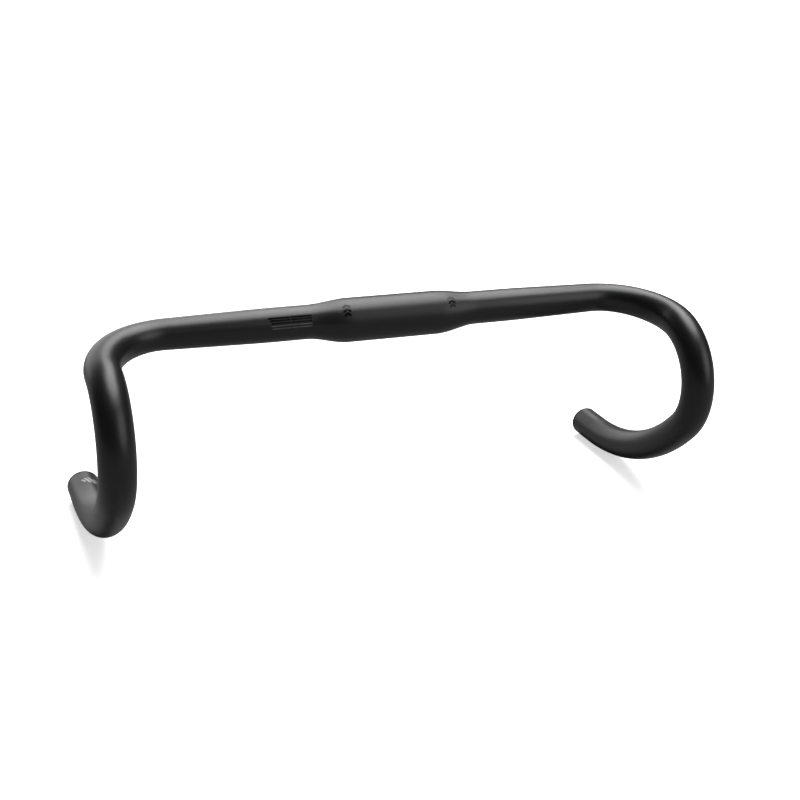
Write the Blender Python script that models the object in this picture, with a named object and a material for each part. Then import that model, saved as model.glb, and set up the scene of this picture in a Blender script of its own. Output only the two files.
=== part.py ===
"""Drop handlebar for a road bicycle, with its printed marks and its two expanding end plugs.

Units are metres. The origin is the centre of the stem clamp section. +Z is up, -Y is forward,
and +X is the rider's left. The bar is one butted aluminium tube: a thick clamp section, a taper
to the tops, a corner on each side, then the hook and the drop, whose end runs level to the rear.
Each end is closed by a plug: a cap, a countersunk screw, and a wedge nut that the screw draws
outwards, so that it spreads three shoes against the bore. A rubber ring holds the shoes together.
"""

import math

import bmesh
import bpy
from mathutils import Matrix, Vector

# The tube, outside
CLAMP_DIAMETER = 0.0318
TOP_START_DIAMETER = 0.0243
TOP_END_DIAMETER = 0.0212
DROP_DIAMETER = 0.0238
CLAMP_HALF_LENGTH = 0.0335
TAPER_LENGTH = 0.031
TOP_RISE = 0.0011
TOP_SLIMMING_START = 0.095
TOP_SLIMMING_LENGTH = 0.080

# The tube's wall
CLAMP_WALL = 0.0022
GRIP_WALL = 0.0016

# The bend line: each half runs out along X, forward round the corner, and down round the hook
HALF_WIDTH = 0.210
CORNER_RADIUS = 0.0475
RAMP_ANGLE = math.radians(9.1)
HOOK_RADIUS = 0.045
HOOK_ANGLE = math.radians(124.2)
DROP_RADIUS = 0.177
END_STRAIGHT = 0.019
FLARE = math.radians(1.3)
TOE = math.radians(-1.6)

# How finely the tube is faceted
TUBE_SIDES = 24
TAPER_STEPS = 6
CORNER_STEPS = 9
HOOK_STEPS = 16
DROP_STEPS = 9

# The end plugs, outwards positive along the tube's end, from the tube's end face
TOUCHING_GAP = 0.0003
RUNNING_GAP = 0.00015
CAP_FLANGE = 0.0015
CAP_EDGE = 0.0004
CAP_SPIGOT = 0.004
SCREW_DIAMETER = 0.005
SCREW_HEAD_DIAMETER = 0.0094
SCREW_HEAD_SINK = 0.0002
SCREW_TIP = 0.0005
SCREW_LENGTH = 0.0215
HEX_KEY = 0.003
HEX_DEPTH = 0.0018
SHOE_START = 0.0055
SHOE_LENGTH = 0.009
SHOE_SPACING = 0.0012
SHOE_TRAVEL = 0.00045
SHOES = 3
WEDGE_ANGLE = math.radians(12)
NUT_LENGTH = 0.008
NUT_WALL = 0.0018
NUT_CORNER = 0.0003
RING_CORD = 0.0008
GROOVE_START = 0.001
GROOVE_WIDTH = 0.0016
TURNED_SIDES = 32
RING_SIDES = 8

# The printed films, by distance along the tube from the centre and angle from its top to its front
FILM = 0.00012
SCALE_FROM = 0.063
SCALE_TO = 0.094
SCALE_ANGLES = (50, 104)
TAPER_MARK_FROM = 0.0355
TAPER_MARK_TO = 0.0445
TAPER_MARK_ANGLES = (28, 81)
DROP_MARK_FROM_END = 0.022
DROP_MARK_TO_END = 0.009
DROP_MARK_ANGLES = (155, 205)
FILM_ANGLE_STEP = 9


def clear_scene():
    for obj in list(bpy.data.objects):
        bpy.data.objects.remove(obj, do_unlink=True)


def material(name, colour, roughness, metallic=0.0):
    made = bpy.data.materials.new(name)
    made.use_nodes = True
    shader = made.node_tree.nodes["Principled BSDF"]
    shader.inputs["Base Color"].default_value = (*colour, 1.0)
    shader.inputs["Roughness"].default_value = roughness
    shader.inputs["Metallic"].default_value = metallic
    return made


def finished(name, bm, surface, parent=None):
    """An object from a closed bmesh, its faces turned outwards and its round sides shaded smooth."""
    bmesh.ops.recalc_face_normals(bm, faces=bm.faces[:])
    mesh = bpy.data.meshes.new(name)
    bm.to_mesh(mesh)
    bm.free()
    mesh.shade_smooth()
    mesh.set_sharp_from_angle(angle=math.radians(35))
    mesh.materials.append(surface)
    obj = bpy.data.objects.new(name, mesh)
    bpy.context.scene.collection.objects.link(obj)
    obj.parent = parent
    return obj


# The bend line


class BendLine:
    """Points and headings of the +X half, with the distance walked and an up vector at each."""

    def __init__(self):
        self.points = [Vector((0, 0, 0))]
        self.headings = [Vector((1, 0, 0))]
        self.ups = [Vector((0, 0, 1))]
        self.distances = [0.0]

    def _step(self, move, turn):
        self.points.append(self.points[-1] + move)
        self.headings.append(turn @ self.headings[-1])
        self.ups.append(turn @ self.ups[-1])
        self.distances.append(self.distances[-1] + move.length)

    def straight(self, length, steps=1):
        for _ in range(steps):
            self._step(self.headings[-1] * (length / steps), Matrix.Identity(3))

    def lift(self, height, start, length):
        """Lifts the points by a height that grows smoothly over a stretch."""
        for point, distance in zip(self.points, self.distances):
            point.z += height * eased(ramped(distance, start, length))

    def arc(self, radius, angle, axis, steps):
        half_turn = Matrix.Rotation(angle / steps / 2, 3, axis)
        chord = 2 * radius * math.sin(angle / steps / 2)
        for _ in range(steps):
            self._step(half_turn @ self.headings[-1] * chord, half_turn @ half_turn)

    def place(self, distance):
        """The point, heading and up vector at a distance from the centre."""
        last = len(self.distances) - 2
        i = next((k for k in range(last) if self.distances[k + 1] >= distance), last)
        share = (distance - self.distances[i]) / (self.distances[i + 1] - self.distances[i])
        point = self.points[i].lerp(self.points[i + 1], share)
        heading = self.headings[i].lerp(self.headings[i + 1], share).normalized()
        up = self.ups[i].lerp(self.ups[i + 1], share)
        return point, heading, (up - up.dot(heading) * heading).normalized()


def bend_line():
    """Half of the bar: clamp, taper, tops, corner, hook, drop and level end, and where each one ends."""
    forward = Vector((math.sin(TOE), -math.cos(TOE), 0))
    down = Vector((math.sin(FLARE), 0, -math.cos(FLARE)))
    down = (down - down.dot(forward) * forward).normalized()
    ramp = math.cos(RAMP_ANGLE) * forward + math.sin(RAMP_ANGLE) * down
    line = BendLine()
    corner_angle = line.headings[0].angle(ramp)
    tops = HALF_WIDTH - CLAMP_HALF_LENGTH - TAPER_LENGTH - CORNER_RADIUS * math.sin(corner_angle)
    line.straight(CLAMP_HALF_LENGTH)
    line.straight(TAPER_LENGTH, TAPER_STEPS)
    line.lift(TOP_RISE, CLAMP_HALF_LENGTH, TAPER_LENGTH)
    line.straight(tops, 2)
    line.corner_start = line.distances[-1]
    line.arc(CORNER_RADIUS, corner_angle, line.headings[0].cross(ramp), CORNER_STEPS)
    line.corner_end = line.distances[-1]
    hook_axis = forward.cross(down)
    line.arc(HOOK_RADIUS, HOOK_ANGLE, hook_axis, HOOK_STEPS)
    line.arc(DROP_RADIUS, math.pi - RAMP_ANGLE - HOOK_ANGLE, hook_axis, DROP_STEPS)
    line.straight(END_STRAIGHT)
    return line


def ramped(distance, start, length):
    """0 before a stretch of the bar and 1 after it, in a straight line between."""
    return min(max((distance - start) / length, 0.0), 1.0)


def eased(share):
    return share * share * (3 - 2 * share)


def outer_radius(line, distance):
    slimming = ramped(distance, TOP_SLIMMING_START, TOP_SLIMMING_LENGTH)
    grip = TOP_START_DIAMETER + (TOP_END_DIAMETER - TOP_START_DIAMETER) * slimming
    swelling = eased(ramped(distance, line.corner_start, line.corner_end - line.corner_start))
    grip += (DROP_DIAMETER - TOP_END_DIAMETER) * swelling
    taper = eased(ramped(distance, CLAMP_HALF_LENGTH, TAPER_LENGTH))
    return (CLAMP_DIAMETER + (grip - CLAMP_DIAMETER) * taper) / 2


def wall(distance):
    return CLAMP_WALL + (GRIP_WALL - CLAMP_WALL) * ramped(distance, CLAMP_HALF_LENGTH, TAPER_LENGTH)


def mirrored(vector, side):
    return Vector((vector.x * side, vector.y, vector.z))


def around(heading, up, angle):
    """The direction at an angle from the tube's top, turning towards its front."""
    return math.cos(angle) * up + math.sin(angle) * heading.cross(up)


def ring(bm, centre, heading, up, radius, side):
    """A ring of vertices round the bend line, on the +X half for side 1 and its mirror for -1."""
    angles = (2 * math.pi * k / TUBE_SIDES for k in range(TUBE_SIDES))
    points = (centre + radius * around(heading, up, angle) for angle in angles)
    return [bm.verts.new(mirrored(point, side)) for point in points]


def tube(line, surface):
    """The bar itself: an outer skin, a bore with half as many rings, and an annulus at each end.

    The bore keeps the ring where each end's straight starts, so that it is straight round the plugs.
    """
    bm = bmesh.new()
    last = len(line.points) - 1
    outer_stops = [(-1, i) for i in range(last, 0, -1)] + [(1, i) for i in range(last + 1)]
    bore_stops = [stop for stop in outer_stops if stop[1] == last or (last - stop[1]) % 2 == 1]
    rings = []
    for side, i in outer_stops:
        radius = outer_radius(line, line.distances[i])
        rings.append(ring(bm, line.points[i], line.headings[i], line.ups[i], radius, side))
    for side, i in reversed(bore_stops):
        radius = outer_radius(line, line.distances[i]) - wall(line.distances[i])
        rings.append(ring(bm, line.points[i], line.headings[i], line.ups[i], radius, side))
    for first, second in zip(rings, rings[1:] + rings[:1]):
        for k in range(TUBE_SIDES):
            after = (k + 1) % TUBE_SIDES
            bm.faces.new((first[k], first[after], second[after], second[k]))
    return finished("handlebar_tube", bm, surface)


def film(name, line, side, span, angles, surface):
    """A printed mark: a thin sheet that follows the tube, lifted off its facets."""
    bm = bmesh.new()
    columns = max(2, math.ceil((span[1] - span[0]) / (TAPER_LENGTH / TAPER_STEPS)))
    rows = math.ceil((angles[1] - angles[0]) / FILM_ANGLE_STEP)
    grid = []
    for i in range(columns + 1):
        distance = span[0] + (span[1] - span[0]) * i / columns
        centre, heading, up = line.place(distance)
        radius = outer_radius(line, distance) + TOUCHING_GAP
        turns = (math.radians(angles[0] + (angles[1] - angles[0]) * j / rows) for j in range(rows + 1))
        points = (centre + radius * around(heading, up, turn) for turn in turns)
        grid.append([bm.verts.new(mirrored(point, side)) for point in points])
    for low, high in zip(grid, grid[1:]):
        for j in range(rows):
            corners = (low[j], low[j + 1], high[j + 1], high[j])
            bm.faces.new(corners if side < 0 else corners[::-1])
    mesh = bpy.data.meshes.new(name)
    bm.to_mesh(mesh)
    bm.free()
    mesh.shade_smooth()
    mesh.materials.append(surface)
    obj = bpy.data.objects.new(name, mesh)
    bpy.context.scene.collection.objects.link(obj)
    thick = obj.modifiers.new("film", "SOLIDIFY")
    thick.thickness = FILM
    thick.offset = 1
    return obj


# The end plugs


def turned(outline, sides=TURNED_SIDES):
    """A closed (radius, height) outline spun about the local Z axis."""
    bm = bmesh.new()
    corners = [bm.verts.new((radius, 0, height)) for radius, height in outline]
    edges = [bm.edges.new(pair) for pair in zip(corners, corners[1:] + corners[:1])]
    bmesh.ops.spin(
        bm, geom=corners + edges, cent=(0, 0, 0), axis=(0, 0, 1), angle=2 * math.pi, steps=sides, use_merge=True
    )
    bmesh.ops.remove_doubles(bm, verts=bm.verts[:], dist=1e-6)
    bmesh.ops.dissolve_degenerate(bm, edges=bm.edges[:], dist=1e-7)
    return bm


def milled(bm, point, normal):
    """Takes off all that lies beyond a plane, and closes the cut."""
    everything = bm.verts[:] + bm.edges[:] + bm.faces[:]
    cut = bmesh.ops.bisect_plane(
        bm, geom=everything, dist=1e-7, plane_co=point, plane_no=normal, clear_outer=True
    )
    rim = [piece for piece in cut["geom_cut"] if isinstance(piece, bmesh.types.BMEdge)]
    bmesh.ops.holes_fill(bm, edges=rim, sides=0)


def bore_clearance(line):
    """The largest radius that clears the bore's flats, at the tube's end."""
    end = line.distances[-1]
    return (outer_radius(line, end) - wall(end)) * math.cos(math.pi / TUBE_SIDES)


def plug_cap(name, line, frame, surface):
    """A disc that covers the tube's end, with a spigot in the bore and a countersunk hole."""
    rim = outer_radius(line, line.distances[-1])
    face = TOUCHING_GAP + CAP_FLANGE
    spigot = bore_clearance(line) - RUNNING_GAP
    hole = SCREW_DIAMETER / 2 + RUNNING_GAP
    mouth = SCREW_HEAD_DIAMETER / 2 + SCREW_HEAD_SINK + RUNNING_GAP
    outline = [
        (mouth, face),
        (rim - CAP_EDGE, face),
        (rim, face - CAP_EDGE),
        (rim, TOUCHING_GAP),
        (spigot, TOUCHING_GAP),
        (spigot, -CAP_SPIGOT),
        (hole, -CAP_SPIGOT),
        (hole, face - (mouth - hole)),
    ]
    return finished(name, turned(outline), surface, frame)


def plug_screw(name, frame, surface):
    """A countersunk screw with a hexagon socket, its head just below the cap's face."""
    head = SCREW_HEAD_DIAMETER / 2
    shank = SCREW_DIAMETER / 2
    face = TOUCHING_GAP + CAP_FLANGE - SCREW_HEAD_SINK
    tip = face - SCREW_LENGTH
    outline = [
        (0, face),
        (head, face),
        (shank, face - (head - shank)),
        (shank, tip + SCREW_TIP),
        (shank - SCREW_TIP, tip),
        (0, tip),
    ]
    screw = finished(name, turned(outline), surface, frame)
    socket = bmesh.new()
    bmesh.ops.create_cone(
        socket,
        cap_ends=True,
        segments=6,
        radius1=HEX_KEY / math.sqrt(3),
        radius2=HEX_KEY / math.sqrt(3),
        depth=2 * HEX_DEPTH,
        matrix=Matrix.Translation((0, 0, face)),
    )
    cutter = finished(name + "_socket_cutter", socket, surface, frame)
    cutter.hide_render = True
    cutter.display_type = "WIRE"
    cut = screw.modifiers.new("hexagon socket", "BOOLEAN")
    cut.object = cutter
    cut.operation = "DIFFERENCE"
    cut.solver = "EXACT"
    return screw


def shoe_directions():
    return [2 * math.pi * k / SHOES for k in range(SHOES)]


def nut_top():
    """The height of the nut's outer face at rest: drawn up, it still stops short of the shoes' grooves."""
    draw = SHOE_TRAVEL / math.tan(WEDGE_ANGLE)
    return -(SHOE_START + GROOVE_START + GROOVE_WIDTH + TOUCHING_GAP + draw)


def ramp_distance(height):
    """How far each of the wedge nut's flats lies from the axis, at a height on the plug."""
    return SCREW_DIAMETER / 2 + NUT_WALL + (nut_top() - height) * math.tan(WEDGE_ANGLE)


def ramp_normal(direction):
    """The outward normal of the nut's flat that faces a direction."""
    lean = math.sin(WEDGE_ANGLE)
    return Vector((math.cos(direction), math.sin(direction), 0)) * math.cos(WEDGE_ANGLE) + Vector((0, 0, lean))


def wedge_nut(name, frame, surface):
    """A round nut with three flats that lean towards the cap, one under each shoe."""
    hole = SCREW_DIAMETER / 2 + RUNNING_GAP
    top = nut_top()
    round_radius = ramp_distance(top - NUT_LENGTH) + NUT_CORNER
    outline = [
        (hole, top),
        (round_radius, top),
        (round_radius, top - NUT_LENGTH),
        (hole, top - NUT_LENGTH),
    ]
    bm = turned(outline)
    for direction in shoe_directions():
        on_flat = Vector((math.cos(direction), math.sin(direction), 0)) * ramp_distance(top)
        milled(bm, on_flat + Vector((0, 0, top)), ramp_normal(direction))
    return finished(name, bm, surface, frame)


def shoe_radius(line):
    """The shoes' outer radius at rest, their travel short of the bore."""
    return bore_clearance(line) - RUNNING_GAP - SHOE_TRAVEL


def groove_radius(line):
    """The bottom of the ring's groove: the ring clears it even when the shoes are spread."""
    return shoe_radius(line) - 2 * RING_CORD - SHOE_TRAVEL


def grip_shoe(name, line, frame, direction, surface):
    """One of the three blocks round the nut: a round back with a groove, flat cheeks and a sloping foot."""
    back = shoe_radius(line)
    groove = groove_radius(line)
    top = -SHOE_START
    outline = [
        (0, top),
        (back, top),
        (back, top - GROOVE_START),
        (groove, top - GROOVE_START),
        (groove, top - GROOVE_START - GROOVE_WIDTH),
        (back, top - GROOVE_START - GROOVE_WIDTH),
        (back, top - SHOE_LENGTH),
        (0, top - SHOE_LENGTH),
    ]
    bm = turned(outline)
    for turn in (math.pi / SHOES + math.pi / 2, -math.pi / SHOES - math.pi / 2):
        cheek = Vector((math.cos(turn), math.sin(turn), 0))
        milled(bm, -cheek * SHOE_SPACING / 2, cheek)
    foot = ramp_distance(top) + RUNNING_GAP / math.cos(WEDGE_ANGLE)
    milled(bm, Vector((foot, 0, top)), -ramp_normal(0))
    shoe = finished(name, bm, surface, frame)
    shoe.rotation_euler.z = direction
    return shoe


def shoe_ring(name, line, frame, surface):
    """The rubber ring in the shoes' grooves."""
    middle = -SHOE_START - GROOVE_START - GROOVE_WIDTH / 2
    ring_radius = groove_radius(line) + SHOE_TRAVEL + RUNNING_GAP + RING_CORD / 2
    turns = (2 * math.pi * k / RING_SIDES for k in range(RING_SIDES))
    outline = [
        (ring_radius + RING_CORD / 2 * math.cos(turn), middle + RING_CORD / 2 * math.sin(turn)) for turn in turns
    ]
    return finished(name, turned(outline), surface, frame)


def end_plug(hand, side, line, cap_finish, steel, nylon, rubber):
    """All of one plug's pieces, on an empty at the tube's end whose Z axis points out of the bore."""
    outwards = mirrored(line.headings[-1], side)
    upright = (Vector((0, 0, 1)) - outwards.z * outwards).normalized()
    axes = Matrix((upright, outwards.cross(upright), outwards)).transposed()
    frame = bpy.data.objects.new(hand + "_plug_axis", None)
    bpy.context.scene.collection.objects.link(frame)
    frame.matrix_world = Matrix.Translation(mirrored(line.points[-1], side)) @ axes.to_4x4()
    plug_cap(hand + "_plug_cap", line, frame, cap_finish)
    plug_screw(hand + "_plug_screw", frame, steel)
    wedge_nut(hand + "_wedge_nut", frame, steel)
    for number, direction in enumerate(shoe_directions(), start=1):
        grip_shoe(f"{hand}_grip_shoe_{number}", line, frame, direction, nylon)
    shoe_ring(hand + "_shoe_ring", line, frame, rubber)


def main():
    clear_scene()
    satin_black = material("satin_black_anodised", (0.018, 0.018, 0.019), 0.42, 0.3)
    gloss_black = material("gloss_black_print", (0.008, 0.008, 0.008), 0.12)
    silver = material("silver_print", (0.55, 0.56, 0.57), 0.35, 0.6)
    cap_finish = material("black_cap", (0.02, 0.02, 0.02), 0.45)
    steel = material("black_steel", (0.05, 0.05, 0.055), 0.35, 1.0)
    nylon = material("black_nylon", (0.03, 0.03, 0.03), 0.6)
    rubber = material("black_rubber", (0.015, 0.015, 0.015), 0.8)

    line = bend_line()
    tube(line, satin_black)
    film("lever_scale_print", line, -1, (SCALE_FROM, SCALE_TO), SCALE_ANGLES, gloss_black)
    for hand, side in (("left", 1), ("right", -1)):
        span = (TAPER_MARK_FROM, TAPER_MARK_TO)
        film(hand + "_taper_print", line, side, span, TAPER_MARK_ANGLES, gloss_black)
    end = line.distances[-1]
    span = (end - DROP_MARK_FROM_END, end - DROP_MARK_TO_END)
    film("drop_print", line, -1, span, DROP_MARK_ANGLES, silver)
    for hand, side in (("left", 1), ("right", -1)):
        end_plug(hand, side, line, cap_finish, steel, nylon, rubber)


if __name__ == "__main__":
    main()
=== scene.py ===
"""Drop handlebar for a road bicycle: the finished look of the bar, its printed marks and its end plugs.

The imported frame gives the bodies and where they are. Every visible piece is modelled here in metres, in
the frame's own place: +Z up, -Y forward, +X towards the rider's left, origin in the stem clamp section.
"""

import math

import bpy
from bpy.props import FloatProperty, FloatVectorProperty, IntProperty, PointerProperty
from mathutils import Matrix, Vector


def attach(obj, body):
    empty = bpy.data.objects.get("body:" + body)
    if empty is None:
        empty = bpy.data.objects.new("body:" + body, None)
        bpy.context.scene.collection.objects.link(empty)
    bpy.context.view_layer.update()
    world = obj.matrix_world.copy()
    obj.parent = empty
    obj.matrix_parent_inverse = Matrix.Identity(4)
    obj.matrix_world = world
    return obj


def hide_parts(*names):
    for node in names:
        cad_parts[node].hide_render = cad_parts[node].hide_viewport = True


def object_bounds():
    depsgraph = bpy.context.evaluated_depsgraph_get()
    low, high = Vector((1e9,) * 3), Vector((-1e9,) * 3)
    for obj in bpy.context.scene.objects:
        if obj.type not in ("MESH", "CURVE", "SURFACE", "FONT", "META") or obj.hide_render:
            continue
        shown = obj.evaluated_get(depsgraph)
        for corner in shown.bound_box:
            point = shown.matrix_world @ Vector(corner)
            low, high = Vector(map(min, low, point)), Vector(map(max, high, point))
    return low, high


bl_info = {
    "name": "Drop handlebar",
    "version": (1, 0, 0),
    "blender": (4, 5, 0),
    "location": "View3D > Sidebar > Handlebar",
    "description": "Models a road drop handlebar with its printed marks and its two expanding end plugs",
    "category": "Object",
}

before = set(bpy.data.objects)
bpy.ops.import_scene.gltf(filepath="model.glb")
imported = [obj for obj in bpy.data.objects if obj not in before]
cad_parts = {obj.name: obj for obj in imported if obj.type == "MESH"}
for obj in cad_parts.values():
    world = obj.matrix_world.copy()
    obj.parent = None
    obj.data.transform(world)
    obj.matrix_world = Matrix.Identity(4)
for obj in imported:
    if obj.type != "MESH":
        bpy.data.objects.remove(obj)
CAD_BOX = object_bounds()
SIDES = {"left": 1, "right": -1}
MILLIMETRE = 0.001
FRAME_SIDES = 24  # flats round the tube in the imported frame

# The lever scale: half of the break in a line, and how much shorter each line is than the one above it
SCALE_HALF_BREAK = 0.0002
BOLD_SHORTENING = 0.0011
FINE_SHORTENING = 0.0006

# The chevrons: each one's turn from the tube's top in degrees and its share of the width, and their slope
CHEVRONS = ((28, 1.0), (40, 0.94), (52, 0.86))
CHEVRON_SLOPE = 0.6

# The silver bars: each one's place across the mark and its reach along it, then their width and slope
SILVER_BARS = ((-0.0042, 0.0030), (-0.0014, 0.0052), (0.0014, 0.0042), (0.0042, 0.0024))
SILVER_BAR_HALF_WIDTH = 0.0009
SILVER_BAR_SLOPE = 0.45

# The plugs: what is taken off a turned edge, and the ribs on a shoe's back
EDGE_BREAK = 0.0003
SHOE_RIBS = 5
RIB_DEPTH = 0.00035
PARTING_LINE = 1.006  # the ring's outermost row, as a share of where its cord ends


def size(name, description, default):
    return FloatProperty(name=name, description=description, default=default, unit="LENGTH", precision=5)


def turn(name, description, degrees):
    return FloatProperty(name=name, description=description, default=math.radians(degrees), unit="ROTATION")


def colour(name, description, default):
    return FloatVectorProperty(name=name, description=description, default=default, subtype="COLOR", size=3)


def amount(name, description, default):
    return FloatProperty(name=name, description=description, default=default)


def count(name, description, default):
    return IntProperty(name=name, description=description, default=default)


class HandlebarTubeSizes(bpy.types.PropertyGroup):
    """The bent and butted tube."""

    clamp_diameter: size("Clamp diameter", "Across the straight section that the stem holds", 0.0318)
    top_start_diameter: size("Top diameter, inner", "Across the tops where the taper ends", 0.0243)
    top_end_diameter: size("Top diameter, outer", "Across the tops near the corner", 0.0212)
    drop_diameter: size("Drop diameter", "Across the hooks and drops", 0.0238)
    clamp_half_length: size("Half clamp length", "From the middle to the start of the taper", 0.0335)
    taper_length: size("Taper length", "From the clamp section to the tops", 0.031)
    top_rise: size("Top rise", "How much higher the tops' middle lies than the clamp section's", 0.0011)
    slimming_start: size("Slimming start", "From the middle to where the tops get slimmer", 0.095)
    slimming_length: size("Slimming length", "How far the tops keep getting slimmer", 0.080)
    wall: size("Wall", "Thickness of the tube", 0.0016)
    half_width: size("Half width", "From the middle to the hook's centre", 0.210)
    corner_radius: size("Corner radius", "Of the bend from the tops to the ramp", 0.0475)
    ramp_angle: turn("Ramp angle", "How steeply the ramp falls", 9.1)
    hook_radius: size("Hook radius", "Of the bend in front of the hands", 0.045)
    hook_angle: turn("Hook angle", "How far the hook turns", 124.2)
    drop_radius: size("Drop radius", "Of the long curve under the hands", 0.177)
    end_straight: size("End straight", "The level length at each end", 0.019)
    flare: turn("Flare", "How far the drops lean outwards", 1.3)
    toe: turn("Toe", "How far the ends turn outwards", -1.6)
    end_chamfer: size("End chamfer", "Taken off the rim of each tube end", 0.0004)
    side_rings: count("Sides", "Steps round the tube, given as its bevel resolution", 22)


class HandlebarMarkSizes(bpy.types.PropertyGroup):
    """The printed marks, by distance along the tube from its middle and turn from its top to its front."""

    ink: size("Ink", "Thickness of the print", 0.00003)
    lift: size("Lift", "From the tube's surface to the print's back", 0.00002)
    scale_start: size("Scale start", "Where the lever scale starts", 0.063)
    scale_end: size("Scale end", "Where its longest line ends", 0.094)
    scale_break: size("Scale break", "Where the lines are broken for lining up", 0.078)
    scale_top: turn("Scale top", "Turn of the scale's first line from the tube's top", 51.0)
    scale_pitch: size("Scale pitch", "From one line to the next", 0.00185)
    bold_line: size("Bold line", "Width of the upper lines", 0.00130)
    thin_line: size("Thin line", "Width of the lower lines", 0.00080)
    taper_mark_left: size("Left taper mark", "Middle of the mark on the rider's left taper", 0.0425)
    taper_mark_right: size("Right taper mark", "Middle of the mark on the rider's right taper", 0.0375)
    taper_mark_width: size("Taper mark width", "Across a chevron, along the tube", 0.0058)
    taper_mark_arm: size("Taper mark arm", "Thickness of a chevron's arms", 0.0020)
    drop_mark_middle: size("Drop mark", "From the tube's end to the middle of the silver mark", 0.0155)


class HandlebarPlugSizes(bpy.types.PropertyGroup):
    """The end plugs, outwards positive from the tube's end face."""

    touching_gap: size("Touching gap", "Between two pieces that rest on each other", 0.0003)
    running_gap: size("Running gap", "Between two pieces that slide", 0.00015)
    flange: size("Flange", "Thickness of the cap over the tube's end", 0.0015)
    spigot: size("Spigot", "Length of the cap inside the bore", 0.004)
    screw_diameter: size("Screw diameter", "Across the thread", 0.005)
    head_diameter: size("Head diameter", "Across the countersunk head", 0.0094)
    head_sink: size("Head sink", "From the cap's face to the screw's head", 0.0002)
    screw_length: size("Screw length", "From the head's face to the tip", 0.0215)
    thread_pitch: size("Thread pitch", "From one thread to the next", 0.0008)
    hex_key: size("Hex key", "Across the flats of the socket", 0.003)
    hex_depth: size("Hex depth", "Depth of the socket", 0.0018)
    shoe_start: size("Shoe start", "From the tube's end to the shoes", 0.0055)
    shoe_length: size("Shoe length", "Along the bore", 0.009)
    shoe_travel: size("Shoe travel", "From rest to the bore", 0.00045)
    shoe_spacing: size("Shoe spacing", "Between the cheeks of two shoes", 0.0012)
    shoes: count("Shoes", "How many shoes stand round the nut", 3)
    wedge_angle: turn("Wedge angle", "Lean of the nut's flats", 12.0)
    nut_length: size("Nut length", "Along the bore", 0.008)
    nut_wall: size("Nut wall", "From the thread to a flat's top edge", 0.0018)
    nut_corner: size("Nut corner", "Round left outside the flats", 0.0003)
    ring_cord: size("Ring cord", "Thickness of the rubber ring", 0.0008)
    groove_start: size("Groove start", "From the shoe's outer end", 0.001)
    groove_width: size("Groove width", "Along the shoe", 0.0016)
    turned_sides: count("Sides", "Steps round a turned piece", 72)


class HandlebarFinishes(bpy.types.PropertyGroup):
    """Colours of the finishes."""

    bar_black: colour("Bar", "Satin black anodised aluminium", (0.0028, 0.0028, 0.0029))
    print_black: colour("Gloss print", "Gloss black ink", (0.0012, 0.0012, 0.0012))
    # Grey base colour of the fine scale lines: a painted reflection, standing in for the sheen glossy black
    # lines catch from the front light
    print_painted_sheen: colour("Grey print", "Dark grey ink of the fine lines", (0.085, 0.085, 0.087))
    print_silver: colour("Silver print", "Silver ink", (0.24, 0.245, 0.25))
    cap_black: colour("Cap", "Turned and anodised caps", (0.016, 0.016, 0.017))
    screw_black: colour("Screw", "Black oxide on steel", (0.05, 0.05, 0.055))
    nut_bare: colour("Nut", "Milled bare aluminium", (0.60, 0.60, 0.61))
    shoe_nylon: colour("Shoe", "Moulded nylon", (0.030, 0.030, 0.031))
    ring_rubber: colour("Ring", "Rubber", (0.012, 0.012, 0.012))
    floor_white: colour("Floor", "Studio floor", (0.90, 0.90, 0.90))
    floor_glow: colour("Floor glow", "Light from under the floor's pale sheet", (0.60, 0.60, 0.60))
    floor_bounce: colour("Floor bounce", "What the floor throws back onto the bar", (0.24, 0.24, 0.24))


class HandlebarStudio(bpy.types.PropertyGroup):
    """Camera, floor and lights."""

    lens: amount("Lens", "Focal length in millimetres on a 36 mm frame", 51.42)
    camera_place: FloatVectorProperty(
        name="Camera",
        description="Where the camera stands",
        default=(-0.28809, -0.73548, 0.24261),
        subtype="XYZ",
    )
    heading: turn("Heading", "Turn of the view from straight back, towards +X", 21.984)
    downward: turn("Downward", "Fall of the view below level", 21.259)
    roll: turn("Roll", "Lean of the camera", 1.776)
    overhead: amount("Overhead", "Strength of the wide softbox above", 3.7)
    rear: amount("Rear", "Strength of the softbox behind the bar", 1.2)
    rear_low: amount("Low rear", "Strength of the softbox low behind the bar", 1.15)
    front: amount("Front", "Strength of the softbox in front, on the rider's left", 0.9)
    surround: amount("Surround", "Brightness of the room", 0.08)
    floor_size: size("Floor size", "Across the floor", 160.0)


# Working with Blender's own tools


def start_clean():
    """Object mode, with nothing selected."""
    if bpy.context.mode != "OBJECT":
        bpy.ops.object.mode_set(mode="OBJECT")
    bpy.ops.object.select_all(action="DESELECT")


def named(name):
    piece = bpy.context.active_object
    piece.name = name
    piece.data.name = name
    return piece


def choose(*pieces):
    """Selects these pieces and makes the first one active."""
    start_clean()
    for piece in pieces:
        piece.select_set(True)
    bpy.context.view_layer.objects.active = pieces[0]


def edit_all(piece):
    choose(piece)
    bpy.ops.object.mode_set(mode="EDIT")
    bpy.ops.mesh.select_all(action="SELECT")


def cleaned(piece):
    """Merges what lies in one place and turns every face outwards."""
    edit_all(piece)
    bpy.ops.mesh.remove_doubles(threshold=1e-6)
    bpy.ops.mesh.normals_make_consistent(inside=False)
    bpy.ops.object.mode_set(mode="OBJECT")
    return piece


def modified(piece, kind, **settings):
    """Adds a modifier, sets it and applies it."""
    choose(piece)
    bpy.ops.object.modifier_add(type=kind)
    modifier = piece.modifiers[-1]
    for key, value in settings.items():
        setattr(modifier, key, value)
    bpy.ops.object.modifier_apply(modifier=modifier.name)
    return piece


def softened(piece, width, segments=2, angle=40):
    """Rounds the piece's sharp edges."""
    return modified(
        piece,
        "BEVEL",
        width=width,
        segments=segments,
        limit_method="ANGLE",
        angle_limit=math.radians(angle),
        use_clamp_overlap=True,
    )


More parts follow.
